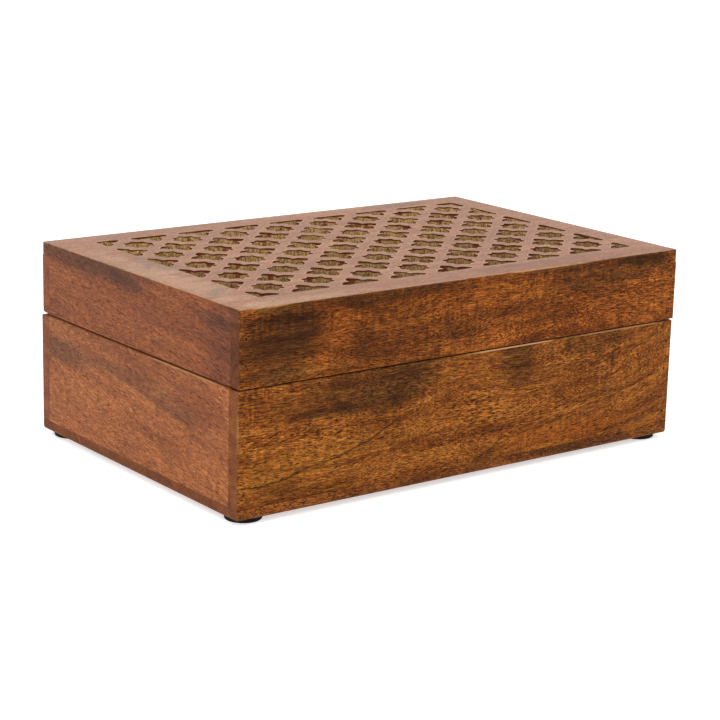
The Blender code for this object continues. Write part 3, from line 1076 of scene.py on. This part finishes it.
    def opening(self, bm: bmesh.types.BMesh, outline: list[Vector], half: float
                ) -> tuple[list[bmesh.types.BMVert], list[bmesh.types.BMVert]]:
        """Make the wall, the softened rim and the rubbed ring of one opening.

        Args:
            bm: The mesh being made.
            outline: The opening's corners.
            half: Half the panel's thickness.

        Returns:
            The bottom ring and the top ring.
        """
        loop = self.sawn(outline)
        leaned = [point + Vector(noise.noise_vector(Vector((point.x, point.y, 5.0)) * 900)).xy * self.lean
                  for point in loop]
        rings = [(leaned, -half), (loop, 0.0), (loop, half - self.rim),
                 (self.inset(loop, -self.rim * 0.3), half - self.rim * 0.3),
                 (self.inset(loop, -self.rim), half),
                 (self.inset(loop, -self.rim - self.wear_and_highlights, 2), half)]
        return self.stack(bm, rings, [PanelSide.WALL] * 4 + [PanelSide.RUBBED_RIM])

    def build(self, finishes: dict[PanelSide, bpy.types.Material]) -> bpy.types.Object:
        """Make the panel.

        Args:
            finishes: Finish of each of the panel's sides.

        Returns:
            The panel, which stands for the lattice node.
        """
        noise.seed_set(self.saw_seed)
        bm = bmesh.new()
        half = (self.high.z - self.low.z) / 2
        rings = [self.rounded_sides(bm, half)]
        rings += [self.opening(bm, outline, half) for outline in self.outlines()]
        self.fill(bm, [top for _, top in rings])
        self.fill(bm, [bottom for bottom, _ in rings])
        bmesh.ops.recalc_face_normals(bm, faces=bm.faces)
        bm.normal_update()
        for face in bm.faces:
            if face.material_index == PanelSide.FACE and abs(face.normal.y) > 0.7:
                face.material_index = PanelSide.LONG_EDGE
            if face.material_index == PanelSide.FACE and abs(face.normal.x) > 0.7:
                face.material_index = PanelSide.END_GRAIN
        bmesh.ops.translate(bm, vec=self.middle, verts=bm.verts)
        mesh = as_mesh(bm, "lid_lattice_panel_wood")
        mesh.set_sharp_from_angle(angle=math.radians(30))
        piece = new_piece("lid_lattice_panel_wood", mesh, [finishes[side] for side in PanelSide])
        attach(piece, "lid")
        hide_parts("lid_lattice_panel")
        LOG.info("lattice panel with %d openings", len(rings) - 1)
        return piece


# ------------------------------------------------------------------ fittings

@dataclass
class Fittings:
    """Feet, brads with their wax filler, hinges and screws.

    Attributes:
        foot_round: Rounding of a foot's lower edge.
        cup: Depth of the cup under a foot.
        filler_depth: How far the wax sinks beside a brad's head.
        filler_width: Width of the ring of wax.
        filler_reach: How far the wax goes into the board.
        shank: Radius of a screw under its head.
        cone: Depth of a screw's countersunk head.
        thread: Depth of a screw's thread.
        point: Length of a screw's point.
        driver_slot: Width and double depth of the driver slot.
    """

    foot_round: float = 0.9 * MM
    cup: float = 0.35 * MM
    filler_depth: float = 0.12 * MM
    filler_width: float = 0.28 * MM
    filler_reach: float = 0.4 * MM
    shank: float = 0.8 * MM
    cone: float = 0.7 * MM
    thread: float = 0.18 * MM
    point: float = 1.2 * MM
    driver_slot: tuple[float, float] = (0.45 * MM, 0.6 * MM)

    def turned(self, name: str, profile: Sequence[tuple[float, float]], sides: int) -> bpy.types.Mesh:
        """Turn a profile about Z.

        Args:
            name: Name of the mesh.
            profile: Radius and height pairs, top to bottom.
            sides: Number of sides.

        Returns:
            The turned mesh.
        """
        bm = bmesh.new()
        points = [bm.verts.new((radius, 0.0, height)) for radius, height in profile]
        edges = [bm.edges.new(pair) for pair in zip(points, points[1:])]
        bmesh.ops.spin(bm, geom=points + edges, axis=(0, 0, 1), cent=(0, 0, 0), steps=sides,
                       angle=2 * math.pi, use_duplicate=False)
        bmesh.ops.remove_doubles(bm, verts=bm.verts, dist=0.002 * MM)
        bmesh.ops.recalc_face_normals(bm, faces=bm.faces)
        mesh = as_mesh(bm, name)
        mesh.shade_smooth()
        mesh.set_sharp_from_angle(angle=math.radians(40))
        return mesh

    def feet(self, rubber: bpy.types.Material) -> None:
        """Make the moulded rubber pads, with a rolled edge and a shallow cup underneath.

        Args:
            rubber: Their finish.
        """
        for place in ("front_left", "front_right", "back_left", "back_right"):
            low, high = (Vector(corner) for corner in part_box(f"foot_{place}"))
            radius, tall = (high.x - low.x) / 2, high.z - low.z
            arc = [math.radians(angle) for angle in range(0, 91, 15)]
            profile = [(0.0, tall), (radius * 0.97, tall), (radius, tall * 0.9)]
            profile += [(radius - self.foot_round * (1 - math.cos(a)), self.foot_round * (1 - math.sin(a)))
                        for a in arc]
            profile += [(radius * 0.62, 0.0), (radius * 0.55, self.cup), (0.0, self.cup)]
            mesh = self.turned(f"foot_{place}_rubber", profile, 48)
            middle = (low + high) / 2
            mesh.transform(Matrix.Translation((middle.x, middle.y, low.z)))
            piece = new_piece(f"foot_{place}_rubber", mesh, [rubber])
            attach(piece, "base")
            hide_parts(f"foot_{place}")
            LOG.info("foot %s", place)

    def fillers(self, wax: bpy.types.Material, steel: bpy.types.Material) -> None:
        """Put a ring of dark wax round each brad head, a hair below it and hollowed.

        Args:
            wax: The filler's finish.
            steel: The brads' finish.
        """
        for name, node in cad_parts.items():
            if "_brad_" not in name:
                continue
            dress(node, steel)
            low, high = (Vector(corner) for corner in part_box(name))
            middle = (low + high) / 2
            front = "front" in name
            head = (high.x - low.x) / 2
            inner, outer = head + 0.01 * MM, head + self.filler_width
            top = 0.18 * MM
            hollow = (inner, top - self.filler_depth)
            profile = [hollow, ((inner + outer) / 2, top - 0.05 * MM), (outer, top),
                       (outer, -self.filler_reach), (inner, -self.filler_reach), hollow]
            mesh = self.turned(f"{name}_filler", profile, 20)
            mesh.transform(Matrix.Rotation(math.radians(90 if front else -90), 4, "X"))
            mesh.transform(Matrix.Translation((middle.x, low.y if front else high.y, middle.z)))
            piece = new_piece(f"{name}_filler", mesh, [wax])
            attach(piece, name.split("_")[0])
            LOG.info("brad %s", name)

    def screw_profile(self, head: float, long: float) -> list[tuple[float, float]]:
        """Draw half of a countersunk wood screw.

        Args:
            head: Radius of its head.
            long: Its length.

        Returns:
            Radius and height pairs, from the head's middle to the point.
        """
        profile = [(0.0, 0.0), (head - 0.05 * MM, 0.0), (head, -0.05 * MM), (self.shank, -self.cone)]
        turns = 6
        for turn in range(turns):
            z = -self.cone - 0.6 * MM - turn * (long - self.cone - 1.8 * MM) / turns
            root = (self.shank - self.thread, z - 0.25 * MM)
            profile += [(self.shank, z), root, (self.shank, z - 0.5 * MM)]
        return profile + [(self.shank, self.point - long), (0.0, -long)]

    def hinges(self, brass: bpy.types.Material) -> None:
        """Dress the leaves and pins, and give each screw a slotted head.

        Args:
            brass: Their finish.
        """
        for name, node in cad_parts.items():
            if not name.startswith("hinge_"):
                continue
            if "_screw_" not in name:
                dress(node, brass)
                LOG.info("hinge piece %s", name)
                continue
            low, high = (Vector(corner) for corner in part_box(name))
            middle = (low + high) / 2
            up = "_lid_" not in name
            head = (high.x - low.x) / 2
            mesh = self.turned(f"{name}_turned", self.screw_profile(head, high.z - low.z), 24)
            cutter = self.slot_cutter(head)
            piece = new_piece(f"{name}_slotted", mesh, [brass])
            self.carve(piece, cutter)
            if not up:
                piece.data.transform(Matrix.Rotation(math.pi, 4, "X"))
            piece.data.transform(Matrix.Translation((middle.x, middle.y, high.z if up else low.z)))
            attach(piece, "base" if up else "lid")
            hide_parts(name)
            LOG.info("screw %s", name)

    def slot_cutter(self, head: float) -> bpy.types.Object:
        """Make a thin block that cuts the driver slot across a screw head.

        Args:
            head: The head's radius.

        Returns:
            The block.
        """
        bm = bmesh.new()
        bmesh.ops.create_cube(bm, size=1.0)
        bmesh.ops.scale(bm, vec=(head * 3, *self.driver_slot), verts=bm.verts)
        bmesh.ops.rotate(bm, verts=bm.verts, matrix=Matrix.Rotation(math.radians(25), 3, "Z"))
        cutter = bpy.data.objects.new("slot_cutter", as_mesh(bm, "slot_cutter"))
        bpy.context.scene.collection.objects.link(cutter)
        return cutter

    def carve(self, piece: bpy.types.Object, cutter: bpy.types.Object) -> None:
        """Cut one object out of another for good, and remove the cutter.

        Args:
            piece: The object that is cut.
            cutter: The object that cuts.
        """
        boolean = piece.modifiers.new("slot", "BOOLEAN")
        boolean.solver = "EXACT"
        boolean.object = cutter
        bpy.context.view_layer.update()
        graph = bpy.context.evaluated_depsgraph_get()
        carved = bpy.data.meshes.new_from_object(piece.evaluated_get(graph))
        piece.modifiers.clear()
        piece.data = carved
        bpy.data.objects.remove(cutter, do_unlink=True)

    def build(self, brass: bpy.types.Material, steel: bpy.types.Material, wax: bpy.types.Material,
              rubber: bpy.types.Material) -> None:
        """Make and dress every fitting.

        Args:
            brass: Finish of the hinges and screws.
            steel: Finish of the brads.
            wax: Finish of the filler round them.
            rubber: Finish of the feet.
        """
        self.feet(rubber)
        self.fillers(wax, steel)
        self.hinges(brass)


# ------------------------------------------------------------------ studio

@dataclass
class Studio:
    """A pale sweep, soft lights and the camera.

    Attributes:
        azimuth, elevation, roll: The camera's turn in degrees.
        distance: How far it stands from what it looks at, in metres.
        lens: Its focal length in mm.
        target: What it looks at.
        floor_glow: Light given off by the sweep.
    """

    azimuth: float = 37.21
    elevation: float = 14.38
    roll: float = 1.4
    distance: float = 1.2161
    lens: float = 104.45
    target: tuple[float, float, float] = (-1.1 * MM, -2.6 * MM, 45.9 * MM)
    floor_glow: float = 0.55

    def camera(self) -> None:
        """Aim the camera at the box."""
        az, el, roll = (math.radians(v) for v in (self.azimuth, self.elevation, self.roll))
        forward = Vector((math.sin(az) * math.cos(el), math.cos(az) * math.cos(el), -math.sin(el)))
        level = forward.cross(Vector((0, 0, 1))).normalized()
        upright = level.cross(forward)
        right = level * math.cos(roll) + upright * math.sin(roll)
        up = right.cross(forward)
        data = bpy.data.cameras.new("camera")
        data.lens = self.lens
        data.sensor_width = 36.0
        data.clip_start = 0.05
        data.clip_end = 50.0
        eye = bpy.data.objects.new("camera", data)
        pose = Matrix((right, up, -forward)).transposed().to_4x4()
        pose.translation = Vector(self.target) - forward * self.distance
        eye.matrix_world = pose
        bpy.context.scene.collection.objects.link(eye)
        bpy.context.scene.camera = eye

    def floor(self) -> None:
        """Lay a sheet of opal acrylic, lit from below too, which lifts the shadow."""
        bm = bmesh.new()
        bmesh.ops.create_grid(bm, x_segments=1, y_segments=1, size=12.0)
        material, tree, shader = blank_material("backlit_opal_acrylic")
        feed(tree, shader, {"Base Color": linear("e8e8e8"), "Roughness": 0.9, "Specular IOR Level": 0.1,
                            "Emission Color": linear("ffffff"), "Emission Strength": self.floor_glow})
        new_piece("studio_floor", as_mesh(bm, "studio_floor"), [material])

    def light(self, name: str, place: tuple[float, float, float], size: tuple[float, float],
              watts: float) -> None:
        """Add a softbox aimed at the box.

        Args:
            name: The light's name.
            place: Where it stands, in metres.
            size: Its width and height, in metres.
            watts: Its power.
        """
        data = bpy.data.lights.new(name, "AREA")
        data.shape = "RECTANGLE"
        data.size, data.size_y = size
        data.energy = watts
        lamp = bpy.data.objects.new(name, data)
        lamp.location = place
        lamp.rotation_euler = (Vector((0, 0, 0.06)) - Vector(place)).to_track_quat("-Z", "Y").to_euler()
        bpy.context.scene.collection.objects.link(lamp)

    def build(self) -> None:
        """Set up the studio."""
        self.camera()
        self.floor()
        world = bpy.data.worlds.new("studio")
        world.use_nodes = True
        background = world.node_tree.nodes["Background"]
        feed(world.node_tree, background, {"Color": linear("ffffff"), "Strength": 1.0})
        bpy.context.scene.world = world
        self.light("overhead_softbox", (-0.2, 0.3, 1.9), (2.2, 2.2), 8.0)
        self.light("left_softbox", (-1.9, -0.5, 0.9), (1.2, 1.6), 5.0)
        bpy.context.scene.view_settings.view_transform = "Standard"


# ------------------------------------------------------------------ the box

GOLD = "be7a2c"
# Pale cream of the painted highlight on the lattice panel's borders.
HIGHLIGHT_CREAM = "e0b48c"


def front_woods() -> dict[str, MangoWood]:
    """The orange-brown boards of the front, with their smoky patches and growth lines.

    Returns:
        Wood for each board, by node name.
    """
    tint = {"blend": Blend.TINT}
    base = MangoWood(
        "mango_wood_base_front", seed=1.0, bend_from=40.0, bend_rise=22.0,
        patches=(Patch((-132.0, 27.0), (25.0, 62.0, 11.0), 0.35, 2.0, 1.0, GOLD, **tint),
                 Patch((-115.0, 11.0), (45.0, 70.0, 9.0), 0.7, 0.0, 0.8, "b8b092"),
                 Patch((60.0, 17.0), (58.0, 70.0, 9.0), 0.35, 0.0, 0.6, "b05c14", **tint),
                 Patch((-80.0, 53.0), (50.0, 40.0, 5.0), 0.6, 1.5),
                 Patch((-48.0, 64.0), (95.0, 40.0, 20.0), 0.7, 0.8, 0.35),
                 Patch((-48.0, 60.0), (34.0, 34.0, 12.0), 0.4, 1.0, 0.8),
                 Patch((36.0, 61.0), (26.0, 15.0, 14.0), 0.7, 0.0, 0.5),
                 Patch((70.0, 66.0), (3.0, 3.0, 8.0), 0.6, 0.0, 0.6),
                 Patch((58.0, 65.0), (2.5, 2.5, 7.0), 0.6, 0.0, 0.6),
                 Patch((85.0, 65.0), (34.0, 50.0, 7.0), 0.5, 0.0, 1.2),
                 Patch((105.0, 52.0), (1.8, 1.8, 15.0), 0.7, 0.0, 0.4),
                 Patch((10.0, 11.0), (14.0, 12.0, 4.5), 0.7)),
        # Painted highlights: pale stretches of the top arris by the seam and of the left upright arris, where
        # light catches the edge.
        wear_and_highlights=(Patch((20.0, 71.0), (36.0, 60.0, 4.0), 1.0, 0.0, 0.6),
                Patch((115.0, 71.0), (50.0, 45.0, 4.0), 0.5),
                Patch((-152.0, 50.0), (5.0, 5.0, 22.0), 0.25, 0.0, 1.3)),
        lines=(GrowthLine((-160.0, -35.0), 20.5, -0.034, 0.0021, 0.75, 0.7),
               GrowthLine((3.0, 40.0), 9.0, 0.4, 0.0, 0.9, 0.6),
               GrowthLine((25.0, 160.0), 18.5, 0.13, 0.0006, 0.7, 0.45)))
    lid = MangoWood(
        "mango_wood_lid_front", seed=2.0, dark="502608", mid="8b4814", light="c2702a", ribbon=0.42,
        end_tone="4e2e24",
        patches=(Patch((-118.0, 77.0), (32.0, 45.0, 4.0), 0.3, 0.0, 0.6, "c0853c", **tint),
                 Patch((-134.0, 112.0), (20.0, 24.0, 3.5), 0.3, 0.0, 0.6, "ac7a2c", **tint),
                 Patch((-124.0, 94.0), (48.0, 33.0, 32.0), 0.85, 0.2, 0.12),
                 Patch((-118.0, 96.0), (30.0, 20.0, 14.0), 0.45, 1.1, 0.6),
                 Patch((-55.0, 86.0), (60.0, 110.0, 22.0), 0.4, 0.0, 0.5),
                 Patch((-62.0, 111.0), (55.0, 70.0, 6.5), 0.85, 0.0, 0.4),
                 Patch((-76.0, 90.0), (10.0, 10.0, 15.0), 0.5),
                 Patch((80.0, 75.0), (55.0, 50.0, 5.0), 0.6, 0.0, 0.9, "a08080"),
                 Patch((105.0, 104.0), (65.0, 55.0, 9.0), 0.7, -2.0),
                 Patch((130.0, 110.0), (34.0, 26.0, 6.0), 0.9, 0.0, 0.6, "707c88")),
        # Painted highlights: pale stretches of the right upright arris and of the top arris, where light
        # catches the edge.
        wear_and_highlights=(Patch((152.0, 92.0), (5.0, 5.0, 26.0), 0.75),
                Patch((50.0, 113.0), (34.0, 34.0, 3.0), 0.8),
                Patch((-140.0, 113.0), (10.0, 18.0, 3.0), 0.6)))
    return {"base_front_board": base, "lid_front_board": lid}


def end_woods() -> dict[str, MangoWood]:
    """The redder boards of the two ends.

    Returns:
        Wood for each board, by node name.
    """
    red = {"dark": "703614", "mid": "9b5626", "light": "c27a3e", "smoke": "5a301a", "end_tone": "8a4c2c",
           "pore": "3a1a0c", "pore_length": 4.0, "pore_share": 0.7, "fibre_length": 5.5,
           "fibre_share": 1.35, "band_share": 0.6, "specular": 0.19, "swing": 2.0, "ribbon": 0.12}
    lid = MangoWood(
        "mango_wood_lid_left", Grain.ALONG_Y, 7.0, 7.0,
        patches=(Patch((0.0, 90.0), (400.0, 400.0, 60.0), 0.75, 0.0, 0.1, "d0bca8"),
                 Patch((42.0, 111.0), (80.0, 90.0, 9.5), 0.75, 0.0, 0.25),
                 Patch((8.0, 106.0), (22.0, 28.0, 7.0), 0.5, 0.0, 0.4),
                 Patch((-78.0, 104.0), (34.0, 34.0, 5.5), 0.5, 0.0, 0.4),
                 Patch((-88.0, 92.0), (24.0, 24.0, 34.0), 0.5, 0.0, 0.3, "a88c84"),
                 Patch((-100.0, 110.0), (9.0, 9.0, 10.0), 0.7, 0.0, 0.4, "a08880")),
        # Painted light on the lower arris by the seam, lifting its shade.
        wear_and_highlights=(Patch((30.0, 74.0), (60.0, 60.0, 4.0), 0.3),), **red)
    base = MangoWood(
        "mango_wood_base_left", Grain.ALONG_Y, 9.0, 5.0,
        patches=(Patch((82.0, 54.0), (54.0, 52.0, 11.0), 0.65, 0.0, 0.3),
                 Patch((12.0, 55.0), (52.0, 48.0, 7.0), 0.45, 0.0, 0.4),
                 Patch((-35.0, 50.0), (44.0, 42.0, 9.0), 0.4, 1.5, 0.4),
                 Patch((-68.0, 56.0), (36.0, 34.0, 17.0), 0.45, 0.0, 0.4, "b08878"),
                 Patch((20.0, 66.0), (90.0, 90.0, 14.0), 0.4, 0.0, 0.5, "c0b0a8")),
        # Painted light on the top arris by the seam, lifting its shade.
        wear_and_highlights=(Patch((-55.0, 71.0), (60.0, 60.0, 4.0), 0.4, 0.0, 1.4),), **red)
    return {"lid_left_end": lid, "base_left_end": base,
            "lid_right_end": MangoWood("mango_wood_lid_right", Grain.ALONG_Y, -6.0, 8.0, **red),
            "base_right_end": MangoWood("mango_wood_base_right", Grain.ALONG_Y, -8.0, 6.0, **red)}


def other_woods() -> dict[str, MangoWood]:
    """The boards of the back, the floor and the face of the lattice.

    Returns:
        Wood for each board, by node name.
    """
    face = MangoWood(
        "mango_wood_lattice_face", Grain.FLAT, 0.0, 10.0, dark="824c2c", mid="a2663c", light="bc8050",
        smoke="76543a", ribbon=0.07, roughness=0.42, specular=0.5, smoke_share=0.4, pore_share=0.5,
        pore="5a3520", wear=0.5, fibre_share=1.3,
        # The first two patches are a painted highlight: cream along the left and front borders of the top,
        # where light glances off them.
        patches=(Patch((-142.0, -30.0), (14.0, 16.0, 110.0), 0.3, 0.0, 1.4, HIGHLIGHT_CREAM, Blend.TINT),
                 Patch((-120.0, -97.0), (44.0, 80.0, 9.0), 0.25, 0.0, 1.4, HIGHLIGHT_CREAM, Blend.TINT),
                 Patch((-128.0, 20.0), (12.0, 12.0, 30.0), 0.35, 0.0, 1.2),
                 Patch((65.0, -93.0), (90.0, 95.0, 9.0), 0.4, 0.0, 0.8, "c49888"),
                 Patch((-140.0, -62.0), (9.0, 9.0, 12.0), 0.5, 0.5),
                 Patch((95.0, 92.0), (38.0, 34.0, 6.0), 0.4)))
    wear_and_highlights = replace(face, name="mango_wood_rubbed_rim", dark="8c5c3c", mid="aa7550", light="c48e66",
                     pore_share=0.1)
    return {"lid_lattice_panel": face,
            "rubbed_rim": wear_and_highlights,
            "base_back_board": MangoWood("mango_wood_base_back", seed=3.0, bend_from=-40.0, bend_rise=9.0,
                                         end_tone="7a4844",
                                         patches=(Patch((60.0, 40.0), (40.0, 30.0, 18.0), 0.6, 0.8),)),
            "lid_back_board": MangoWood("mango_wood_lid_back", seed=4.0, end_tone="7a4844",
                                        patches=(Patch((-70.0, 95.0), (40.0, 30.0, 12.0), 0.5, 1.0),)),
            "base_floor": MangoWood("mango_wood_floor", Grain.FLAT, 0.0, 9.0, dark="54290d", mid="7f451a",
                                    light="a8652b", ribbon=0.15,
                                    patches=(Patch((80.0, 0.0), (80.0, 90.0, 200.0), 0.6),))}


def main() -> None:
    """Build the box piece by piece."""
    logging.basicConfig(level=logging.INFO, format="%(name)s: %(message)s")
    Studio().build()
    woods = {**front_woods(), **end_woods(), **other_woods()}
    finishes = {node: wood.build() for node, wood in woods.items()}
    Boards().build(finishes)
    LatticePanel().build({
        PanelSide.FACE: finishes["lid_lattice_panel"],
        PanelSide.WALL: SawnWall().build(),
        PanelSide.LONG_EDGE: finishes["lid_front_board"],
        PanelSide.END_GRAIN: finishes["lid_left_end"],
        PanelSide.RUBBED_RIM: finishes["rubbed_rim"]})
    # The backing is painted along its length with a coarse brush, which leaves soft streaks.
    paint = MattFilm("brushed_ochre_paint", colour="a58449", patchy="93733c", roughness=0.75,
                     texture=0.9, depth=0.1, brushed=14.0)
    dress(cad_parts["lid_backing_board"], paint.build())
    # Rolled brass is bright gold with brown tarnish. Browned wire is nearly as dull as the wood.
    brass = Metal("rolled_brass", clean="d9ae5e", tarnished="8a6a34", roughness=0.32)
    steel = Metal("browned_wire_steel", clean="5a3818", tarnished="3a220e", roughness=0.7)
    # Wax filler is smeared by hand, so it is patchy. Moulded rubber is black and has almost no gloss.
    wax = MattFilm("brown_filler_wax", colour="6e3c16", patchy="7e481c", roughness=0.6,
                   texture=0.8, depth=0.05)
    rubber = MattFilm("moulded_black_rubber", colour="0c0e0a", patchy="141610", roughness=0.8,
                      texture=0.5, depth=0.04, specular=0.12)
    Fittings().build(brass.build(), steel.build(), wax.build(), rubber.build())


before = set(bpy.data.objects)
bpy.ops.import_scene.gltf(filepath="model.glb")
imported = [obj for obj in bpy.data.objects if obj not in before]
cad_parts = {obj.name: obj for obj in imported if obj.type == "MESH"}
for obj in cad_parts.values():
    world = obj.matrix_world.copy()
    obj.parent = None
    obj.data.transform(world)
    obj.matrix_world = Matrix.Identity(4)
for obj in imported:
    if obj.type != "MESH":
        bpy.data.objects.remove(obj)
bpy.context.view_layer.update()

if __name__ == "__main__":
    main()
